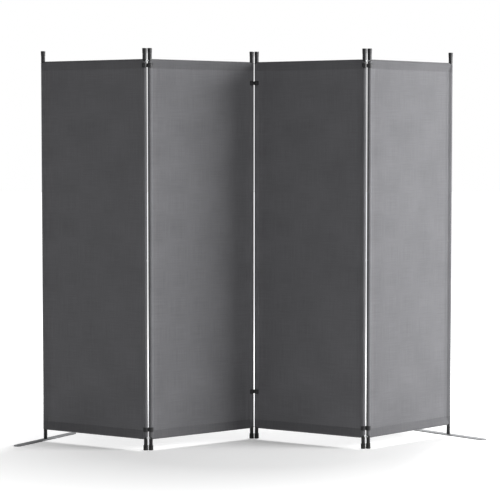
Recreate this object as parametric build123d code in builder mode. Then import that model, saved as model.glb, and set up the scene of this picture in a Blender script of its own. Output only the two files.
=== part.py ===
from build123d import *
from math import asin, cos, degrees, radians, sin
import os

os.makedirs("parts", exist_ok=True)

# A four-panel folding screen on its feet, in millimetres.
# +Z is up, +X runs along its width, and a person looking at its front stands at -Y.
# The origin is on the floor, at the middle of the footprint.

# How the screen stands: heading of each panel in plan, in degrees from +X, from left to right
screen_height = 1715.0
panel_headings = (-30.9, 36.3, -31.3, 44.1)
post_spacing = 536.0  # between the two post axes of a panel
fold_spacing = 22.0  # between the two post axes at a fold

# Steel posts, each an upper tube slipped over the swaged end of a lower one
tube_radius = 8.0
tube_wall = 1.0
split_height = 790.0
spigot_length = 60.0
swage_length = 8.0
slip = 0.05  # radial clearance of pieces pushed into or over a tube
turning_play = 0.06  # radial clearance of pieces that turn on each other

# Steel crossbars with saddle plugs in their ends, drawn to the posts by screws
bar_radius = 6.0
bar_wall = 0.8
plug_grip = 25.0
plug_collar = 3.0
screw_radius = 2.5
screw_reach = 30.0
screw_head_radius = 4.3
screw_head_height = 2.6
screw_head_dome = 1.6

# Spring button that locks the two halves of a post
button_above_split = 23.0
button_radius = 3.0
button_stand = 1.6  # how far it shows past the post
button_depth = 3.5
button_dome = 1.0

# Plastic cap over the top of a post
cap_roof = 4.0
cap_head_height = 21.0
cap_head_radius = 10.0
cap_head_taper = 0.7
cap_skirt_wall = 0.75
cap_length = 46.5
cap_edge = 0.8

# Rubber foot under each inner post
rubber_radius = 10.25
rubber_height = 22.0
rubber_floor = 3.0
rubber_taper = 0.35
rubber_edge = 0.8

# Flat steel foot that turns under each end post
plate_length = 430.0
plate_width = 38.0
plate_thickness = 4.0
plate_edge = 0.5
end_plug_length = 20.0
foot_screw_radius = 3.0
foot_screw_reach = 16.0
foot_head_radius = 5.5
foot_head_height = 1.8
foot_head_recess = 0.4

# Cloth panel: a single sheet with hems round the crossbars and sleeves round the posts
cloth = 0.8
cloth_gap = 0.3  # radial clearance between cloth and tube
hem_depth = 40.0
sleeve_depth = 24.0
sleeve_neck = 14.0
sleeve_neck_gap = 0.6  # half the gap between the two layers at the neck
seam_gap = 0.2  # half the gap between the two layers at a hem's seam
sleeve_opening = 50.0  # degrees off the panel's run where the sleeve leaves the post
cloth_to_cap = 45.6  # from the top of the screen to the hem, and from the floor to the lower hem
corner_drop = 13.9  # how much lower the sleeve ends than the hem
button_window = 8.4  # the square opening in a sleeve for a snap button

# Plastic clips that join two posts, each a pair of rings
clip_wall = 2.6
clip_height = 16.5
clip_web = 9.0
clip_edge = 0.6
clip_window_gap = 1.5
outer_clip_from_top = 72.5
outer_clip_from_floor = 88.5
middle_clip_from_top = 138.0
middle_clip_from_floor = 210.0

# Sizes that follow from those above
bore_radius = tube_radius - tube_wall
spigot_radius = bore_radius - slip
hem_inner = bar_radius + cloth_gap
hem_outer = hem_inner + cloth
sleeve_inner = tube_radius + cloth_gap
sleeve_outer = sleeve_inner + cloth
cloth_top = screen_height - cloth_to_cap
cloth_bottom = cloth_to_cap
top_bar_height = cloth_top - hem_outer
bottom_bar_height = cloth_bottom + hem_outer
clip_ring_outer = tube_radius + clip_wall
button_height = split_height + button_above_split
cap_bottom = screen_height - cap_length
post_top = screen_height - cap_roof
bar_start = tube_radius + plug_collar
outer_clips = (outer_clip_from_floor, screen_height - outer_clip_from_top)
middle_clips = (middle_clip_from_floor, screen_height - middle_clip_from_top)
UP = (0, 0, 1)


def heading_vector(heading):
    """A level unit vector along that heading."""
    return Vector(cos(radians(heading)), sin(radians(heading)), 0)


class Post:
    """One upright: its foot, its panel's heading, and +1 or -1 for the way out of the panel."""

    def __init__(self, place, heading, outward, clips, on_plate):
        self.place = place
        self.heading = heading
        self.outward = outward
        self.clips = clips
        self.on_plate = on_plate
        self.foot = plate_thickness if on_plate else rubber_floor
        self.axis = Axis(tuple(place), UP)

    def section(self):
        """The upright plane along the panel, with its X out of the panel and its Y up."""
        run = heading_vector(self.heading) * self.outward
        return Plane(origin=self.place, x_dir=run, z_dir=run.cross(Vector(UP)))

    def level(self, height):
        """The level plane at that height, with its X out of the panel."""
        run = heading_vector(self.heading) * self.outward
        return Plane(origin=self.place + Vector(0, 0, height), x_dir=run, z_dir=UP)

    def side(self, height, reach=0.0):
        """The upright plane square to the panel, at that reach out of it, facing outward with its Y up."""
        run = heading_vector(self.heading) * self.outward
        spot = self.place + run * reach + Vector(0, 0, height)
        return Plane(origin=spot, x_dir=Vector(UP).cross(run), z_dir=run)


# Walk along the screen from its left end, then shift it so that its footprint is centred
turns = [(a + b) / 2 for a, b in zip(panel_headings, panel_headings[1:])]
corner = Vector(0, 0, 0)
corners = []
for number, heading in enumerate(panel_headings):
    far = corner + heading_vector(heading) * post_spacing
    corners.append((corner, far))
    if number < len(turns):
        corner = far + heading_vector(turns[number]) * fold_spacing

plate_middles = (corners[0][0], corners[-1][1])
plate_headings = (panel_headings[0] + 90, panel_headings[-1] + 90)
plate_arm = (plate_length - plate_width) / 2
rims = [(spot, rubber_radius) for pair in corners for spot in pair if spot not in plate_middles]
for middle, heading in zip(plate_middles, plate_headings):
    for way in (plate_arm, -plate_arm):
        rims.append((middle + heading_vector(heading) * way, plate_width / 2))
shift = Vector(
    -(min(p.X - r for p, r in rims) + max(p.X + r for p, r in rims)) / 2,
    -(min(p.Y - r for p, r in rims) + max(p.Y + r for p, r in rims)) / 2,
    0,
)

fold_clips = (outer_clips, middle_clips, outer_clips)
panels = []
for number, (pair, heading) in enumerate(zip(corners, panel_headings)):
    left_clips = fold_clips[number - 1] if number > 0 else ()
    right_clips = fold_clips[number] if number < len(fold_clips) else ()
    left = Post(pair[0] + shift, heading, -1, left_clips, number == 0)
    right = Post(pair[1] + shift, heading, 1, right_clips, number == len(corners) - 1)
    panels.append((left, right))


def save(piece, name):
    """Label a finished piece and write it out."""
    piece.part.label = name
    export_step(piece.part, f"parts/{name}.step")


def lower_tube(post, name):
    """Lower half of a post: a tube whose top is swaged down to enter the upper half."""
    with BuildPart() as tube:
        with BuildSketch(post.section()):
            with BuildLine():
                Polyline(
                    (tube_radius, post.foot),
                    (tube_radius, split_height),
                    (spigot_radius, split_height),
                    (spigot_radius, split_height + spigot_length),
                    (spigot_radius - tube_wall, split_height + spigot_length),
                    (spigot_radius - tube_wall, split_height - tube_wall),
                    (bore_radius, split_height - swage_length),
                    (bore_radius, post.foot),
                    close=True,
                )
            make_face()
        revolve(axis=post.axis)
        with BuildSketch(post.side(bottom_bar_height)):
            Circle(screw_radius + slip)
        extrude(amount=2 * tube_radius, both=True, mode=Mode.SUBTRACT)
        with BuildSketch(post.side(button_height)):
            Circle(button_radius + slip)
        extrude(amount=2 * tube_radius, mode=Mode.SUBTRACT)
    save(tube, name)


def upper_tube(post, name):
    """Upper half of a post: a plain tube with its screw hole and its button hole."""
    with BuildPart() as tube:
        with BuildSketch(post.level(split_height)):
            Circle(tube_radius)
            Circle(bore_radius, mode=Mode.SUBTRACT)
        extrude(amount=post_top - split_height)
        with BuildSketch(post.side(top_bar_height)):
            Circle(screw_radius + slip)
        extrude(amount=2 * tube_radius, both=True, mode=Mode.SUBTRACT)
        with BuildSketch(post.side(button_height)):
            Circle(button_radius + slip)
        extrude(amount=2 * tube_radius, mode=Mode.SUBTRACT)
    save(tube, name)


def crossbar(panel, height, name):
    """Steel bar between the two posts of a panel, cut short of them by the collars of its plugs."""
    left, right = panel
    with BuildPart() as bar:
        with BuildSketch(right.side(height, -bar_start)):
            Circle(bar_radius)
            Circle(bar_radius - bar_wall, mode=Mode.SUBTRACT)
        extrude(amount=-(post_spacing - 2 * bar_start))
    save(bar, name)


def bar_plugs(panel, name):
    """Four moulded plugs, each pushed into a bar's end, with a collar that saddles the post."""
    with BuildPart() as plugs:
        for post in panel:
            for height in (bottom_bar_height, top_bar_height):
                with BuildSketch(post.side(height, -bar_start)):
                    Circle(bar_radius - bar_wall - slip)
                extrude(amount=-plug_grip)
                with BuildSketch(post.side(height, -bar_start)):
                    Circle(bar_radius)
                extrude(amount=bar_start)
                with BuildSketch(post.level(height - 2 * bar_radius)):
                    Circle(tube_radius)
                extrude(amount=4 * bar_radius, mode=Mode.SUBTRACT)
                with BuildSketch(post.side(height)):
                    Circle(screw_radius + slip)
                extrude(amount=-(bar_start + plug_grip), mode=Mode.SUBTRACT)
    save(plugs, name)


def domed_pin(post, height, start, end, radius, dome):
    """A round pin that points out of the panel, from start to an end that is a cap of a ball."""
    crown = (radius**2 + dome**2) / (2 * dome)
    with BuildPart() as pin:
        with BuildSketch(post.section()):
            with BuildLine():
                Polyline(
                    (end, height),
                    (start, height),
                    (start, height + radius),
                    (end - dome, height + radius),
                )
                CenterArc((end - crown, height), crown, 0, degrees(asin(radius / crown)))
            make_face()
        revolve(axis=Axis(post.side(height).origin, post.side(height).z_dir))
    return pin.part


def bar_screws(panel, name):
    """Four screws, each through a post into a bar's plug, with its domed head saddled on the post."""
    screw_end = tube_radius + screw_head_height
    with BuildPart() as screws:
        for post in panel:
            for height in (bottom_bar_height, top_bar_height):
                add(domed_pin(post, height, 0, screw_end, screw_head_radius, screw_head_dome))
                with BuildSketch(post.level(height - 2 * screw_head_radius)):
                    Circle(tube_radius)
                extrude(amount=4 * screw_head_radius, mode=Mode.SUBTRACT)
                with BuildSketch(post.side(height, tube_radius)):
                    Circle(screw_radius)
                extrude(amount=-(tube_radius + screw_reach))
    save(screws, name)


def snap_buttons(panel, name):
    """Two spring buttons, one in each post, that lock its halves together."""
    start = tube_radius - button_depth
    end = tube_radius + button_stand
    with BuildPart() as buttons:
        for post in panel:
            add(domed_pin(post, button_height, start, end, button_radius, button_dome))
    save(buttons, name)


def post_caps(panel, name):
    """Two moulded caps, each a slightly flared head on a skirt that grips the post."""
    skirt = tube_radius + slip + cap_skirt_wall
    shoulder = screen_height - cap_head_height
    with BuildPart() as caps:
        for post in panel:
            with BuildSketch(post.section()):
                with BuildLine():
                    Polyline(
                        (0, screen_height),
                        (cap_head_radius - cap_edge, screen_height),
                        (cap_head_radius, screen_height - cap_edge),
                        (cap_head_radius - cap_head_taper, shoulder),
                        (skirt, shoulder - cap_edge),
                        (skirt, cap_bottom),
                        (tube_radius + slip, cap_bottom),
                        (tube_radius + slip, post_top),
                        (0, post_top),
                        close=True,
                    )
                make_face()
            revolve(axis=post.axis)
    save(caps, name)


def rubber_feet(panel, name):
    """A rubber cup under each post of a panel that doesn't stand on a flat foot."""
    with BuildPart() as feet:
        for post in panel:
            if not post.on_plate:
                with BuildSketch(post.section()):
                    with BuildLine():
                        Polyline(
                            (0, 0),
                            (rubber_radius - rubber_edge, 0),
                            (rubber_radius, rubber_edge),
                            (rubber_radius - rubber_taper, rubber_height - rubber_edge),
                            (rubber_radius - rubber_taper - rubber_edge, rubber_height),
                            (tube_radius + slip, rubber_height),
                            (tube_radius + slip, rubber_floor),
                            (0, rubber_floor),
                            close=True,
                        )
                    make_face()
                revolve(axis=post.axis)
    save(feet, name)


def sleeve_outline(radius, neck, half):
    """A sleeve in plan: round the post, then drawn in to a neck on the panel's side."""
    x = radius * cos(radians(sleeve_opening))
    y = radius * sin(radians(sleeve_opening))
    with BuildSketch() as outline:
        with BuildLine():
            CenterArc((0, 0), radius, 180 + sleeve_opening, 360 - 2 * sleeve_opening)
            Polyline((-x, y), (-neck, half), (-neck, -half), (-x, -y))
        make_face()
    return outline.sketch


def hem_outline(radius, half, drop, way):
    """A hem end on: round the bar, then straight to its seam, which is up or down by way."""
    lean = asin((radius - half) / drop)
    x = radius * cos(lean)
    y = way * radius * sin(lean)
    start = -degrees(lean) if way < 0 else 180 - degrees(lean)
    with BuildSketch() as outline:
        with BuildLine():
            CenterArc((0, 0), radius, start, 180 + 2 * degrees(lean))
            Polyline((x, y), (half, way * drop), (-half, way * drop), (-x, y))
        make_face()
    return outline.sketch


def fabric(panel, name):
    """A cloth sheet, hemmed round the bars and sleeved round the posts, with clip and button windows."""
    left, right = panel
    near_post = Post(Vector(0, 0, 0), 0, 1, right.clips, right.on_plate)
    far_post = Post(Vector(-post_spacing, 0, 0), 0, -1, left.clips, left.on_plate)
    cloth_height = cloth_top - cloth_bottom
    hems = ((bottom_bar_height, 1), (top_bar_height, -1))
    drop = hem_depth - hem_outer
    window_height = clip_height + 2 * clip_window_gap
    window_reach = clip_ring_outer + clip_window_gap
    with BuildPart() as sheet:
        for post in (near_post, far_post):
            with BuildSketch(post.level(cloth_bottom)):
                add(sleeve_outline(sleeve_outer, sleeve_neck, sleeve_neck_gap + cloth))
            extrude(amount=cloth_height)
            with BuildSketch(post.side(cloth_bottom + cloth_height / 2, -tube_radius)):
                Rectangle(2 * cloth, cloth_height)
            extrude(amount=-(sleeve_depth - tube_radius))
        with BuildSketch(near_post.side(cloth_bottom + cloth_height / 2, -tube_radius)):
            Rectangle(cloth, cloth_height)
        extrude(amount=-(post_spacing - 2 * tube_radius))
        for height, way in hems:
            with BuildSketch(near_post.side(height, -bar_radius)):
                add(hem_outline(hem_outer, seam_gap + cloth, drop, way))
            extrude(amount=-(post_spacing - 2 * bar_radius))
        for height, way in hems:
            with BuildSketch(near_post.side(height)):
                add(hem_outline(hem_inner, seam_gap, drop - cloth, way))
            extrude(amount=-post_spacing, mode=Mode.SUBTRACT)
        for post in (near_post, far_post):
            with BuildSketch(post.level(cloth_bottom)):
                add(sleeve_outline(sleeve_inner, sleeve_neck - cloth, sleeve_neck_gap))
            extrude(amount=cloth_height, mode=Mode.SUBTRACT)
            for edge, way in ((cloth_bottom, 1), (cloth_top, -1)):
                beyond = sleeve_outer + cloth
                with BuildSketch(post.section()):
                    with BuildLine():
                        Polyline(
                            (-sleeve_neck, edge),
                            (beyond, edge + way * corner_drop),
                            (beyond, edge - way * cloth),
                            (-sleeve_neck, edge - way * cloth),
                            close=True,
                        )
                    make_face()
                extrude(amount=beyond, both=True, mode=Mode.SUBTRACT)
            with BuildSketch(post.side(button_height)):
                Rectangle(button_window, button_window)
            extrude(amount=2 * tube_radius, mode=Mode.SUBTRACT)
            for clip_middle in post.clips:
                with BuildSketch(post.level(clip_middle - window_height / 2)):
                    Rectangle(2 * window_reach, 2 * window_reach)
                extrude(amount=window_height, mode=Mode.SUBTRACT)
    with BuildPart(right.level(0)) as placed:
        add(sheet.part)
    save(placed, name)


def fold_clip(near, far, height, name):
    """A moulded clip at a fold: a ring round each of the two posts, which turn in it, and a web between."""
    link = far.place - near.place
    middle = near.place + link * 0.5 + Vector(0, 0, height - clip_height / 2)
    with BuildPart() as clip:
        with BuildSketch(Plane(origin=middle, x_dir=link, z_dir=UP)):
            with GridLocations(fold_spacing, 1, 2, 1):
                Circle(clip_ring_outer)
            Rectangle(fold_spacing, clip_web)
            with GridLocations(fold_spacing, 1, 2, 1):
                Circle(tube_radius + turning_play, mode=Mode.SUBTRACT)
        extrude(amount=clip_height)
        ends = clip.faces().filter_by(Axis.Z).sort_by(Axis.Z)
        chamfer(ends[0].outer_wire().edges() + ends[-1].outer_wire().edges(), clip_edge)
    save(clip, name)


def foot_plate(post, name):
    """A flat steel strip with round ends, laid across the screen, counterbored from below for its screw."""
    across = heading_vector(post.heading + 90)
    with BuildPart() as plate:
        with BuildSketch(Plane(origin=post.place, x_dir=across, z_dir=UP)):
            SlotOverall(plate_length, plate_width)
        extrude(amount=plate_thickness)
        chamfer(plate.faces().sort_by(Axis.Z)[-1].edges(), plate_edge)
        with Locations(Plane(origin=post.place, x_dir=across, z_dir=(0, 0, -1))):
            CounterBoreHole(
                radius=foot_screw_radius + slip,
                counter_bore_radius=foot_head_radius + slip,
                counter_bore_depth=foot_head_recess + foot_head_height,
            )
    save(plate, name)


def foot_screw(post, name):
    """The screw that holds a flat foot under its post, with its head sunk in the foot."""
    seat = foot_head_recess + foot_head_height
    with BuildPart() as screw:
        with BuildSketch(post.level(foot_head_recess)):
            Circle(foot_head_radius)
        extrude(amount=foot_head_height)
        with BuildSketch(post.level(seat)):
            Circle(foot_screw_radius)
        extrude(amount=plate_thickness - seat + foot_screw_reach)
    save(screw, name)


def end_plug(post, name):
    """The plug in the bottom of an end post, in which the foot's screw turns."""
    with BuildPart() as plug:
        with BuildSketch(post.level(plate_thickness)):
            Circle(bore_radius - slip)
            Circle(foot_screw_radius + turning_play, mode=Mode.SUBTRACT)
        extrude(amount=end_plug_length)
    save(plug, name)


for number, panel in enumerate(panels, start=1):
    for side, post in zip(("left", "right"), panel):
        lower_tube(post, f"panel_{number}_{side}_lower_tube")
        upper_tube(post, f"panel_{number}_{side}_upper_tube")
    crossbar(panel, bottom_bar_height, f"panel_{number}_bottom_crossbar")
    crossbar(panel, top_bar_height, f"panel_{number}_top_crossbar")
    bar_plugs(panel, f"panel_{number}_bar_plugs")
    bar_screws(panel, f"panel_{number}_bar_screws")
    snap_buttons(panel, f"panel_{number}_snap_buttons")
    post_caps(panel, f"panel_{number}_post_caps")
    rubber_feet(panel, f"panel_{number}_rubber_feet")
    fabric(panel, f"panel_{number}_fabric")

for number, (panel, neighbour) in enumerate(zip(panels, panels[1:]), start=1):
    near = panel[1]
    far = neighbour[0]
    for end, height in zip(("bottom", "top"), near.clips):
        fold_clip(near, far, height, f"fold_{number}_{end}_clip")

for side, post in (("left", panels[0][0]), ("right", panels[-1][1])):
    foot_plate(post, f"{side}_foot_plate")
    foot_screw(post, f"{side}_foot_screw")
    end_plug(post, f"{side}_end_plug")
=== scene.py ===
import bmesh
import bpy
from math import cos, exp, hypot, pi, radians, sin, sqrt
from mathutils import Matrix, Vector, noise


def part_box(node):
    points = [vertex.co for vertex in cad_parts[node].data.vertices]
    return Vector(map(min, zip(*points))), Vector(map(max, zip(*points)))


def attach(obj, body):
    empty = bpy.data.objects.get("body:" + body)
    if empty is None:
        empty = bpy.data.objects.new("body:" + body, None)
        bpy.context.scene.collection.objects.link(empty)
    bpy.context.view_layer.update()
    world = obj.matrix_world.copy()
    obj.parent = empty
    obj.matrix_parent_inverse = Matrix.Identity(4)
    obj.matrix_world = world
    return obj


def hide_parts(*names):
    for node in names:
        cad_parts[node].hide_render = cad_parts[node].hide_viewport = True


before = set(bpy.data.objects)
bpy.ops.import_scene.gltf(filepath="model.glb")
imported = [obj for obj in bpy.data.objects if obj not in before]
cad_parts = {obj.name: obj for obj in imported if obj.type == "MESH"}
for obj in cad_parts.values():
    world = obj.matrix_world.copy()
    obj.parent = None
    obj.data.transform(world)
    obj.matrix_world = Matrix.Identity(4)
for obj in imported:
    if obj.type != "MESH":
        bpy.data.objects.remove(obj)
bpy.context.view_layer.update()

# The camera stands square to the screen's width, a little over eight metres back at chest height, with a long
# lens, and is tilted down a little to hold the whole screen.
camera_place = (-0.0117, -8.1595, 1.321)
camera_lens = 133.4
camera_tilt = radians(3.357)

camera = bpy.data.objects.new("camera", bpy.data.cameras.new("camera"))
bpy.context.scene.collection.objects.link(camera)
camera.location = camera_place
camera.rotation_euler = (pi / 2 - camera_tilt, 0, 0)
camera.data.lens = camera_lens
camera.data.clip_end = 200
bpy.context.scene.camera = camera
bpy.context.scene.view_settings.view_transform = "Standard"


# The studio: a seamless pale floor under a white room, a large soft lamp on the right, one high behind the
# screen and a weak one in front. The floor glows white to the camera far off, and its glow fades near the
# screen: painted shade round the screen, on top of the real soft shadow that the lamps cast.
def linear(code):
    """A colour written as sRGB hex, turned to the linear values that shaders take."""
    channels = [int(code[i : i + 2], 16) / 255 for i in (1, 3, 5)]
    return [c / 12.92 if c <= 0.04045 else ((c + 0.055) / 1.055) ** 2.4 for c in channels] + [1.0]


def add_node(tree, kind, inputs, **settings):
    """One shader node with its settings, its values and its links."""
    made = tree.nodes.new(kind)
    for name, value in settings.items():
        setattr(made, name, value)
    for name, value in inputs.items():
        if isinstance(value, bpy.types.NodeSocket):
            tree.links.new(value, made.inputs[name])
        else:
            made.inputs[name].default_value = value
    return made


def blank_material(name):
    """A new material with an empty node tree, and that tree."""
    material = bpy.data.materials.new(name)
    material.use_nodes = True
    material.node_tree.nodes.clear()
    return material, material.node_tree


def remap(tree, value, from_low=0.0, from_high=1.0, to_low=0.0, to_high=1.0):
    """A value carried from one range to another."""
    ranges = {"From Min": from_low, "From Max": from_high, "To Min": to_low, "To Max": to_high}
    return add_node(tree, "ShaderNodeMapRange", {"Value": value, **ranges}).outputs["Result"]


floor_colour = linear("#F0F0F0")
painted_shade_floor_glow = 0.24
room_light = 0.25
shadow_reach = 0.7
white_reach = 2.3
floor_half = 40.0

paper, tree = blank_material("white_paper_roll")
place = add_node(tree, "ShaderNodeTexCoord", {}).outputs["Object"]
reach = add_node(tree, "ShaderNodeVectorMath", {0: place}, operation="LENGTH").outputs["Value"]
# The glow fades from full far off to a low level near the screen's middle: painted shade on the floor round
# the screen.
glow = remap(tree, reach, shadow_reach, white_reach, painted_shade_floor_glow, 1.0)
camera_ray = add_node(tree, "ShaderNodeLightPath", {}).outputs["Is Camera Ray"]
camera_glow_with_painted_shade = add_node(tree, "ShaderNodeMath", {0: glow, 1: camera_ray}, operation="MULTIPLY").outputs[0]
matt = add_node(tree, "ShaderNodeBsdfDiffuse", {"Color": floor_colour}).outputs[0]
light = add_node(tree, "ShaderNodeEmission", {"Color": linear("#FFFFFF"), "Strength": camera_glow_with_painted_shade}).outputs[0]
both = add_node(tree, "ShaderNodeAddShader", {0: matt, 1: light}).outputs[0]
add_node(tree, "ShaderNodeOutputMaterial", {"Surface": both})

floor_mesh = bpy.data.meshes.new("floor")
floor_corners = [(x * floor_half, y * floor_half, 0) for x, y in ((-1, -1), (1, -1), (1, 1), (-1, 1))]
floor_mesh.from_pydata(floor_corners, [], [(0, 1, 2, 3)])
floor = bpy.data.objects.new("floor", floor_mesh)
floor_mesh.materials.append(paper)
bpy.context.scene.collection.objects.link(floor)

room = bpy.data.worlds.new("white_room")
bpy.context.scene.world = room
room.use_nodes = True
tree = room.node_tree
tree.nodes.clear()
camera_ray = add_node(tree, "ShaderNodeLightPath", {}).outputs["Is Camera Ray"]
fill = add_node(tree, "ShaderNodeBackground", {"Color": linear("#FFFFFF"), "Strength": room_light}).outputs[0]
white = add_node(tree, "ShaderNodeBackground", {"Color": linear("#FFFFFF"), "Strength": 1.0}).outputs[0]
shown = add_node(tree, "ShaderNodeMixShader", {0: camera_ray, 1: fill, 2: white}).outputs[0]
add_node(tree, "ShaderNodeOutputWorld", {"Surface": shown})

# Each lamp is a square softbox: its name, where it stands, what it points at, its width and its watts
lamps = (
    ("key_softbox", (4.9, -1.1, 2.0), (0.2, -0.1, 1.1), 2.0, 290),
    ("rear_softbox", (1.1, 3.2, 4.2), (-0.1, 0.0, 0.3), 1.8, 200),
    ("front_softbox", (-2.6, -4.2, 2.2), (-0.2, 0.0, 0.9), 2.0, 12),
)
for name, spot, aim, width, power in lamps:
    lamp = bpy.data.objects.new(name, bpy.data.lights.new(name, "AREA"))
    lamp.data.size = width
    lamp.data.energy = power
    lamp.location = spot
    lamp.rotation_euler = (Vector(aim) - Vector(spot)).to_track_quat("-Z", "Y").to_euler()
    bpy.context.scene.collection.objects.link(lamp)


# The posts and crossbars are thin steel tube, cut, swaged and drilled, then powder-coated satin black.
# The coat keeps its faint orange peel, which breaks the long bright line that a lamp draws down each tube.
def dress(names, material):
    """Give CAD pieces their finish."""
    for name in names:
        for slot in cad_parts[name].material_slots:
            slot.material = material


def own_place(tree):
    """Where a point lies on its piece, in metres."""
    return add_node(tree, "ShaderNodeTexCoord", {}).outputs["Object"]


def speckle(tree, place, scale, detail=2.0):
    """Soft random spots, that many to the metre."""
    spots = add_node(tree, "ShaderNodeTexNoise", {"Vector": place, "Scale": scale, "Detail": detail})
    return spots.outputs["Fac"]


def blend(tree, share, first, second):
    """Two colours mixed by a share."""
    return add_node(tree, "ShaderNodeMix", {0: share, 6: first, 7: second}, data_type="RGBA").outputs[2]


def relief(tree, height, strength, depth):
    """A fine bumpy skin."""
    skin = add_node(tree, "ShaderNodeBump", {"Height": height, "Strength": strength, "Distance": depth})
    return skin.outputs["Normal"]


def surface(tree, inputs):
    """End a material in one principled shader."""
    shader = add_node(tree, "ShaderNodeBsdfPrincipled", inputs).outputs["BSDF"]
    add_node(tree, "ShaderNodeOutputMaterial", {"Surface": shader})


panel_numbers = (1, 2, 3, 4)
black_coat = linear("#1E1E20")
black_coat_dust = linear("#38383A")
peel_size = 0.0016
peel_depth = 0.00008

powder_coat, tree = blank_material("black_satin_powder_coat_on_steel")
place = own_place(tree)
dust = speckle(tree, place, 14.0, 5.0)
dusty = remap(tree, dust, from_low=0.5, from_high=0.8, to_high=0.35)
colour = blend(tree, dusty, black_coat, black_coat_dust)
rough = remap(tree, dust, to_low=0.3, to_high=0.48)
skin = relief(tree, speckle(tree, place, 1 / peel_size, 1.0), 0.25, peel_depth)
surface(tree, {"Base Color": colour, "Roughness": rough, "Normal": skin, "IOR": 1.5})

for number in panel_numbers:
    tubes = [f"panel_{number}_{side}_{half}_tube" for side in ("left", "right") for half in ("lower", "upper")]
    dress(tubes, powder_coat)
    dress([f"panel_{number}_{end}_crossbar" for end in ("bottom", "top")], powder_coat)


# Caps, clips and plugs are injection-moulded black nylon: a little lighter than the coat, with a fine
# spark-eroded grain that scatters the light, and handling marks that polish it in patches.
black_nylon = linear("#242426")
worn_nylon = linear("#303032")
nylon_grain = 0.0006
nylon_grain_depth = 0.00005

nylon, tree = blank_material("moulded_black_nylon")
place = own_place(tree)
marks = speckle(tree, place, 60.0, 3.0)
colour = blend(tree, marks, black_nylon, worn_nylon)
rough = remap(tree, marks, to_low=0.36, to_high=0.55)
skin = relief(tree, speckle(tree, place, 1 / nylon_grain), 0.35, nylon_grain_depth)
surface(tree, {"Base Color": colour, "Roughness": rough, "Normal": skin, "IOR": 1.53})

for number in panel_numbers:
    dress([f"panel_{number}_post_caps", f"panel_{number}_bar_plugs"], nylon)
for fold in (1, 2, 3):
    dress([f"fold_{fold}_bottom_clip", f"fold_{fold}_top_clip"], nylon)
dress(["left_end_plug", "right_end_plug"], nylon)


# The inner posts stand in moulded rubber cups, pushed on. Rubber is black and dull, and picks up grey floor
# dust, most of it low down.
rubber_black = linear("#19191A")
rubber_dust = linear("#4A4946")
dust_height = 0.014
rubber_grain_depth = 0.0001

rubber, tree = blank_material("moulded_black_rubber")
place = own_place(tree)
height = add_node(tree, "ShaderNodeSeparateXYZ", {0: place}).outputs["Z"]
low = remap(tree, height, from_high=dust_height, to_low=0.7, to_high=0.12)
speck = speckle(tree, place, 220.0, 4.0)
dusty = add_node(tree, "ShaderNodeMath", {0: low, 1: speck}, operation="MULTIPLY").outputs[0]
colour = blend(tree, dusty, rubber_black, rubber_dust)
skin = relief(tree, speck, 0.3, rubber_grain_depth)
surface(tree, {"Base Color": colour, "Roughness": 0.78, "Normal": skin, "IOR": 1.52})
dress([f"panel_{number}_rubber_feet" for number in panel_numbers], rubber)


# Screws and spring buttons are steel, tumbled and bright zinc-plated: small hard highlights with a cloudy
# grey between them.
zinc_bright = linear("#C9CACC")
zinc_cloud = linear("#9A9C9F")

zinc, tree = blank_material("bright_zinc_plate_on_steel")
cloud = speckle(tree, own_place(tree), 500.0, 4.0)
colour = blend(tree, cloud, zinc_bright, zinc_cloud)
rough = remap(tree, cloud, to_low=0.22, to_high=0.42)
surface(tree, {"Base Color": colour, "Roughness": rough, "Metallic": 1.0})
for number in panel_numbers:
    dress([f"panel_{number}_bar_screws", f"panel_{number}_snap_buttons"], zinc)
dress(["left_foot_screw", "right_foot_screw"], zinc)


# The flat feet are blanked from steel strip and coated silver-grey. The coat is metallic and finely pebbled,
# and shoes and brooms leave it a little scuffed.
foot_silver = linear("#9B9C9E")
foot_scuff = linear("#7C7D80")
pebble_depth = 0.00006

silver_coat, tree = blank_material("silver_grey_powder_coat_on_steel")
place = own_place(tree)
scratches = {"Vector": place, "Scale": 45.0, "Detail": 6.0, "Roughness": 0.7}
scuffs = add_node(tree, "ShaderNodeTexNoise", scratches).outputs["Fac"]
worn = remap(tree, scuffs, from_low=0.48, from_high=0.75)
colour = blend(tree, worn, foot_silver, foot_scuff)
rough = remap(tree, scuffs, to_low=0.38, to_high=0.6)
skin = relief(tree, speckle(tree, place, 900.0), 0.3, pebble_depth)
surface(tree, {"Base Color": colour, "Roughness": rough, "Metallic": 0.35, "Normal": skin})
dress(["left_foot_plate", "right_foot_plate"], silver_coat)


# Each panel is one sheet of charcoal polyester oxford. Its ends are turned over the crossbars and sewn down
# as hems, its sides are sewn as snug sleeves round the posts, and both are left open where the clips grip.
# The hem bands' colour is painted darker: painted shade for the light that a single ply lets through
# and a two-ply hem holds back. Front and back are made as one closed surface.
charcoal = linear("#747477")
charcoal_dark = linear("#68686B")
thread_spacing = 0.0009
yarn_scale = 420.0
yarn_length_scale = 9.0
weave_depth = 0.0001
cloth_half = 0.0004
sleeve_radius = 0.0091
sleeve_turn = 130
sleeve_neck = 0.014
neck_half = 0.00135
seam_from_post = 0.024
seam_half = 0.0009
hem_radius = 0.0071
hem_depth = 0.040
hem_shade = 0.8
hem_edge = 0.001
corner_drop = 0.0139
corner_band = 0.01715
sleeve_flank = 0.008
sway_from = 0.012
window_half_width = 0.0121
window_gap = 0.0015
plain_from = 0.065
row_step = 0.012
row_clearance = 0.003
column_step = 0.012
slack_depth = 0.0030
ripple_depth = 0.0011
pucker_pitch = 0.017
pucker_depth = 0.00022
gather_pitch = 0.019
gather_depth = 0.00028
weld = 0.00002
rim = 0.0006

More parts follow.
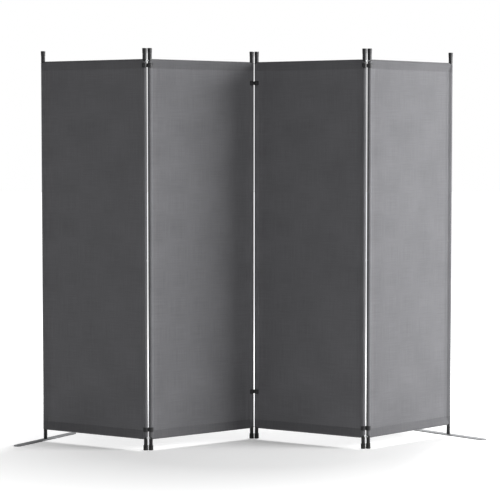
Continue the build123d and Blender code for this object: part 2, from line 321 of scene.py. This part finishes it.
oxford, tree = blank_material("charcoal_polyester_oxford")
flat_place = add_node(tree, "ShaderNodeUVMap", {}).outputs["UV"]
across, up = add_node(tree, "ShaderNodeSeparateXYZ", {0: flat_place}).outputs[:2]
turns = 2 * pi / thread_spacing
waves = []
for direction in (across, up):
    phase = add_node(tree, "ShaderNodeMath", {0: direction, 1: turns}, operation="MULTIPLY").outputs[0]
    waves.append(add_node(tree, "ShaderNodeMath", {0: phase}, operation="SINE").outputs[0])
weave = add_node(tree, "ShaderNodeMath", {0: waves[0], 1: waves[1]}, operation="MULTIPLY").outputs[0]
yarns = []
for scale in ((yarn_scale, yarn_length_scale, 1.0), (yarn_length_scale, yarn_scale, 1.0)):
    run = add_node(tree, "ShaderNodeMapping", {"Vector": flat_place, "Scale": scale}).outputs[0]
    yarns.append(speckle(tree, run, 1.0))
cross = add_node(tree, "ShaderNodeMath", {0: yarns[0], 1: yarns[1]}, operation="ADD").outputs[0]
broad = speckle(tree, flat_place, 6.0, 3.0)
tone = add_node(tree, "ShaderNodeMath", {0: cross, 1: broad}, operation="ADD").outputs[0]
colour = blend(tree, remap(tree, tone, from_low=1.2, from_high=1.8), charcoal_dark, charcoal)
cloth_low, cloth_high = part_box("panel_1_fabric")
cloth_middle = (cloth_low[2] + cloth_high[2]) / 2
hem_seam = (cloth_high[2] - cloth_low[2]) / 2 - hem_depth
offset = add_node(tree, "ShaderNodeMath", {0: up, 1: cloth_middle}, operation="SUBTRACT").outputs[0]
away = add_node(tree, "ShaderNodeMath", {0: offset}, operation="ABSOLUTE").outputs[0]
# Painted shade: the hem bands' colour is scaled down by hem_shade, for the light a two-ply hem holds back.
hem_painted_shade = remap(tree, away, hem_seam - hem_edge, hem_seam + hem_edge, 1.0, hem_shade)
colour_with_painted_hem_shade = add_node(tree, "ShaderNodeVectorMath", {0: colour, "Scale": hem_painted_shade}, operation="SCALE").outputs[0]
skin = relief(tree, weave, 0.2, weave_depth)
surface(tree, {"Base Color": colour_with_painted_hem_shade, "Roughness": 0.82, "Normal": skin, "IOR": 1.45,
               "Sheen Weight": 0.12, "Sheen Roughness": 0.5})


def middle(node):
    """The middle of a CAD piece's box."""
    low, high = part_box(node)
    return (Vector(low) + Vector(high)) / 2


def soft_step(value):
    """0 below 0, 1 above 1 and smooth between."""
    value = min(max(value, 0.0), 1.0)
    return value * value * (3 - 2 * value)


class Sheet:
    """Where one panel's cloth lies: from its left post's axis towards its right one, and up from the floor."""

    def __init__(self, number):
        self.number = number
        left = middle(f"panel_{number}_left_lower_tube")
        right = middle(f"panel_{number}_right_lower_tube")
        self.start = Vector((left.x, left.y, 0))
        self.run = (Vector((right.x, right.y, 0)) - self.start).normalized()
        self.facing = Vector((-self.run.y, self.run.x, 0))
        self.width = hypot(right.x - left.x, right.y - left.y)
        low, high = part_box(f"panel_{number}_fabric")
        self.bottom = low[2]
        self.top = high[2]
        self.windows = []
        for side, fold in ((0.0, number - 1), (self.width, number)):
            for end in ("bottom", "top") if fold in (1, 2, 3) else ():
                low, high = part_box(f"fold_{fold}_{end}_clip")
                self.windows.append((side, low[2] - window_gap, high[2] + window_gap))

    def at(self, along, out, height):
        """A point of the panel in the frame."""
        return self.start + self.run * along + self.facing * out + Vector((0, 0, height))

    def from_post(self, along):
        """How far a place lies inside the nearer post's axis, and less than nothing beyond it."""
        return min(along, self.width - along)

    def from_end(self, height):
        """How far a place lies inside the nearer hem's edge."""
        return min(height - self.bottom, self.top - height)

    def edge_height(self, along, height):
        """The height, moved so that the sleeve's cut corner slopes away from the hem's edge."""
        cut = max(0.0, sleeve_neck - self.from_post(along)) / (sleeve_neck + sleeve_radius) * corner_drop
        share = max(0.0, 1 - self.from_end(height) / corner_band)
        return height + cut * share * (1 if height < (self.bottom + self.top) / 2 else -1)

    def hem(self, height):
        """Half the hem's thickness at that height: round over the bar, then drawn in to the seam."""
        inside = self.from_end(height)
        if inside < hem_radius:
            return sqrt(max(0.0, hem_radius**2 - (hem_radius - inside) ** 2))
        fall = (inside - hem_radius) / (hem_depth - hem_radius)
        return hem_radius + (cloth_half - hem_radius) * min(1.0, fall)

    def half(self, inside, plain, height):
        """Half the cloth's thickness, given what it is away from the hems: at the hems it wraps the bar."""
        if inside < sleeve_flank:
            return plain
        if inside > sleeve_neck and self.from_end(height) < hem_radius:
            return self.hem(height)
        return max(plain, self.hem(height))

    def sway(self, along, height):
        """How far the stretched cloth stands off its flat plane: broad slack and puckered seams."""
        inside = self.from_post(along)
        end = self.from_end(height)
        held = soft_step((inside - seam_from_post) / 0.09) * soft_step((end - hem_depth) / 0.12)
        slack = noise.noise(Vector((along * 3.1, height * 1.7, 7.3 * self.number)))
        ripple = noise.noise(Vector((along * 14.0, height * 2.2, 3.1 * self.number + 40)))
        pucker = sin(2 * pi * height / pucker_pitch + 3 * noise.noise(Vector((0, height * 9, self.number))))
        pucker *= exp(-(((inside - seam_from_post - 0.004) / 0.007) ** 2)) * soft_step((end - 0.05) / 0.03)
        gather = sin(2 * pi * along / gather_pitch + 3 * noise.noise(Vector((along * 9, 5, self.number))))
        gather *= exp(-(((end - hem_depth - 0.004) / 0.008) ** 2)) * soft_step((inside - 0.03) / 0.03)
        broad = slack_depth * slack + ripple_depth * ripple
        return held * broad + pucker_depth * pucker + gather_depth * gather


def sleeve_columns():
    """The sleeve in plan as (inside the post's axis, half thickness), from its outermost point to its seam."""
    points = []
    for degrees in range(10, sleeve_turn + 1, 10):
        turn = radians(degrees)
        points.append((-sleeve_radius * cos(turn), sleeve_radius * sin(turn)))
    arc_end = points[-1]
    for inside in (0.009, window_half_width, sleeve_neck):
        share = (inside - arc_end[0]) / (sleeve_neck - arc_end[0])
        points.append((inside, arc_end[1] + (neck_half - arc_end[1]) * share))
    points += [(0.019, 0.0011), (seam_from_post, seam_half), (seam_from_post + 0.0012, cloth_half)]
    return points


def cloth_rows(sheet):
    """Every height at which the cloth has a row of points, from its lower edge to its upper one."""
    round_bar = (0, 0.0003, 0.0012, 0.0028, 0.0050, 0.0080, 0.0125, corner_band)
    ends = round_bar + (0.024, 0.032, 0.0388, hem_depth, 0.0415, 0.046, 0.053)
    rows = {sheet.bottom + e for e in ends} | {sheet.top - e for e in ends}
    rows |= {edge for window in sheet.windows for edge in window[1:]}
    plain = sheet.top - sheet.bottom - 2 * plain_from
    count = round(plain / row_step)
    for step in range(count + 1):
        height = sheet.bottom + plain_from + plain * step / count
        if all(abs(height - row) > row_clearance for row in rows):
            rows.add(height)
    return sorted(rows)


def make_cloth(sheet):
    """The mesh of one panel's cloth."""
    side = sleeve_columns()
    first = side[-1][0] + column_step
    count = round((sheet.width - 2 * first) / column_step)
    columns = [(inside, half) for inside, half in side]
    columns += [(first + (sheet.width - 2 * first) * i / count, cloth_half) for i in range(count + 1)]
    columns += [(sheet.width - inside, half) for inside, half in reversed(side)]
    loop = [(-sleeve_radius, 0.0, 0)]
    loop += [(along, half, 1) for along, half in columns]
    loop += [(sheet.width + sleeve_radius, 0.0, 0)]
    loop += [(along, half, -1) for along, half in reversed(columns)]
    rows = cloth_rows(sheet)
    points = []
    flats = []
    for row in rows:
        for along, half, way in loop:
            height = sheet.edge_height(along, row)
            inside = sheet.from_post(along)
            thick = sheet.half(inside, half, height)
            sway = sheet.sway(along, height) if inside > sway_from else 0.0
            points.append(sheet.at(along, sway + way * thick, height))
            flats.append((along + way * sheet.width * 1.2, height))
    size = len(loop)
    faces = []
    for r in range(len(rows) - 1):
        for c in range(size):
            d = (c + 1) % size
            spot = (loop[c][0] + loop[d][0]) / 2
            open_here = any(
                abs(spot - post) < window_half_width and low <= (rows[r] + rows[r + 1]) / 2 <= high
                for post, low, high in sheet.windows
            )
            if not open_here:
                faces.append((r * size + c, (r + 1) * size + c, (r + 1) * size + d, r * size + d))
    mesh = bpy.data.meshes.new(f"panel_{sheet.number}_cloth")
    mesh.from_pydata(points, [], faces)
    layer = mesh.uv_layers.new(name="cut")
    for corner in mesh.loops:
        layer.data[corner.index].uv = flats[corner.vertex_index]
    return mesh


def turn_in_rims(mesh, sheet):
    """Turn every cut edge of the cloth in a little, so that it shows its thickness, and close what meets."""
    work = bmesh.new()
    work.from_mesh(mesh)
    bmesh.ops.remove_doubles(work, verts=work.verts, dist=weld)
    edges = [edge for edge in work.edges if edge.is_boundary]
    made = bmesh.ops.extrude_edge_only(work, edges=edges)["geom"]
    for vert in [item for item in made if isinstance(item, bmesh.types.BMVert)]:
        spot = vert.co - sheet.start
        along = spot.dot(sheet.run)
        out = spot.dot(sheet.facing)
        post = 0.0 if along < sheet.width / 2 else sheet.width
        inward = sheet.run * (post - along) - sheet.facing * out
        vert.co += inward.normalized() * rim
    work.to_mesh(mesh)
    work.free()


sheets = [Sheet(number) for number in panel_numbers]
for sheet in sheets:
    mesh = make_cloth(sheet)
    turn_in_rims(mesh, sheet)
    mesh.polygons.foreach_set("use_smooth", [True] * len(mesh.polygons))
    mesh.materials.append(oxford)
    cloth = bpy.data.objects.new(f"panel_{sheet.number}_cloth", mesh)
    bpy.context.scene.collection.objects.link(cloth)
    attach(cloth, f"panel_{sheet.number}")
    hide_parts(f"panel_{sheet.number}_fabric")


# The hems and sleeves are lockstitched with a thick polyester thread, a shade lighter than the cloth.
# Each stitch lies in the cloth as a short raised grain, three millimetres long.
thread_grey = linear("#8A8A8C")
stitch_pitch = 0.0040
stitch_half_length = 0.0015
stitch_half_width = 0.00035
stitch_height = 0.00022
sleeve_thread_inset = 0.0008
hem_thread_inset = 0.0014
sleeve_thread_end = 0.012
hem_thread_start = 0.002

spun, tree = blank_material("spun_polyester_thread")
twist = speckle(tree, own_place(tree), 1800.0)
colour = blend(tree, twist, thread_grey, charcoal_dark)
surface(tree, {"Base Color": colour, "Roughness": 0.6, "IOR": 1.5})


def stitch_row(sheet, points, faces, start, end, way):
    """A row of stitches on one side of the cloth, from one (along, height) to another."""
    length = hypot(end[0] - start[0], end[1] - start[1])
    count = int(length / stitch_pitch)
    step = ((end[0] - start[0]) / length, (end[1] - start[1]) / length)
    outline = [(-stitch_half_length, 0, 0), (0, stitch_half_width, 0), (stitch_half_length, 0, 0),
               (0, -stitch_half_width, 0)]
    ridge = [(-stitch_half_length * 0.4, 0, stitch_height), (stitch_half_length * 0.4, 0, stitch_height)]
    grain = outline + ridge
    for number in range(count):
        far = (number + 0.5) * stitch_pitch
        along = start[0] + step[0] * far
        height = start[1] + step[1] * far
        base = len(points)
        thick = max(cloth_half if sheet.from_post(along) > seam_from_post else seam_half, sheet.hem(height))
        lie = sheet.sway(along, height) + way * thick
        for forward, sideways, lift in grain:
            u = along + step[0] * forward - step[1] * sideways
            z = height + step[1] * forward + step[0] * sideways
            points.append(sheet.at(u, lie + way * lift, z))
        quads = ((0, 1, 4), (1, 5, 4), (1, 2, 5), (2, 3, 5), (3, 4, 5), (3, 0, 4))
        faces += [tuple(base + i for i in quad) for quad in quads]


for sheet in sheets:
    points = []
    faces = []
    for way in (1, -1):
        low = sheet.bottom + sleeve_thread_end
        high = sheet.top - sleeve_thread_end
        sleeve_thread = seam_from_post - sleeve_thread_inset
        for along in (sleeve_thread, sheet.width - sleeve_thread):
            stitch_row(sheet, points, faces, (along, low), (along, high), way)
        start = seam_from_post + hem_thread_start
        for height in (sheet.bottom + hem_depth - hem_thread_inset, sheet.top - hem_depth + hem_thread_inset):
            stitch_row(sheet, points, faces, (start, height), (sheet.width - start, height), way)
    mesh = bpy.data.meshes.new(f"panel_{sheet.number}_stitches")
    mesh.from_pydata(points, [], faces)
    mesh.materials.append(spun)
    stitches = bpy.data.objects.new(f"panel_{sheet.number}_stitches", mesh)
    bpy.context.scene.collection.objects.link(stitches)
    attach(stitches, f"panel_{sheet.number}")
